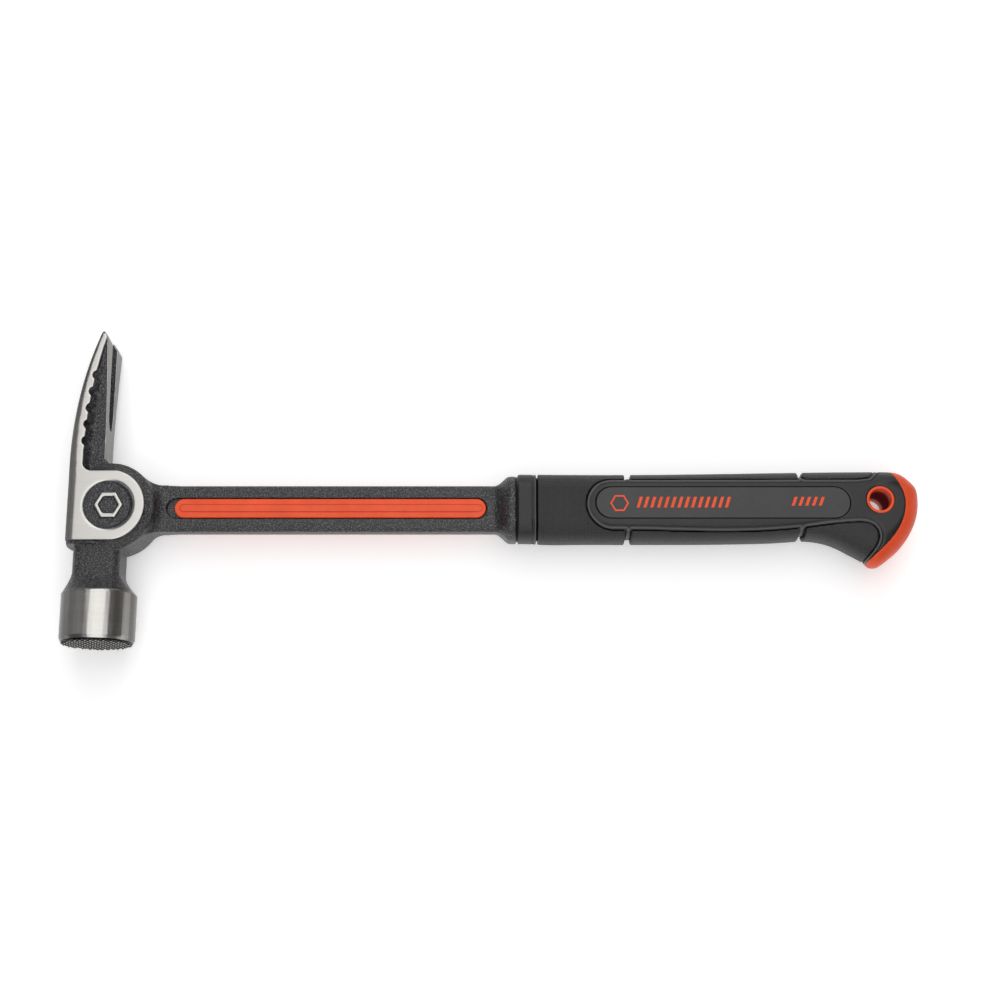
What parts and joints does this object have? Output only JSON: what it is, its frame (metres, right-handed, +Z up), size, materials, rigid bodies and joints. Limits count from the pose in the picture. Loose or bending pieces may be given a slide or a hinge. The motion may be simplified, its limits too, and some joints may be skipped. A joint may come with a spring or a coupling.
{
  "type": "claw hammer",
  "caption": "Straight-claw framing hammer: one-piece forged head, shank and tang, milled round face, moulded soft grip with a hooked butt and hanging hole.",
  "frame": {"origin": "middle of the bounding box's underside, with the hammer lying on its cheek", "axes": "+X along the handle from the head to the butt, +Y from the striking poll to the claw, +Z up out of the cheek"},
  "size_m": [0.4197, 0.1562, 0.0364],
  "materials": {
    "forged_steel": "black textured coating with brushed bright poll, cheeks and claw",
    "accent_orange": "satin moulded orange",
    "hard_grip": "fine spark-textured black",
    "soft_grip": "soft-touch black with fine dots",
    "side_panel": "satin charcoal"
  },
  "bodies": {
    "root": {"forged_body": "forged_steel", "inlay_front": "accent_orange", "inlay_back": "accent_orange", "grip_core": "hard_grip", "front_sleeve": "soft_grip", "top_pad": "soft_grip", "bottom_pad": "soft_grip", "rear_top_pad": "soft_grip", "hook_pad": "soft_grip", "panel_front": "side_panel", "panel_back": "side_panel", "hang_hole_liner": "accent_orange", "butt_cap": "accent_orange"}
  },
  "joints": []
}
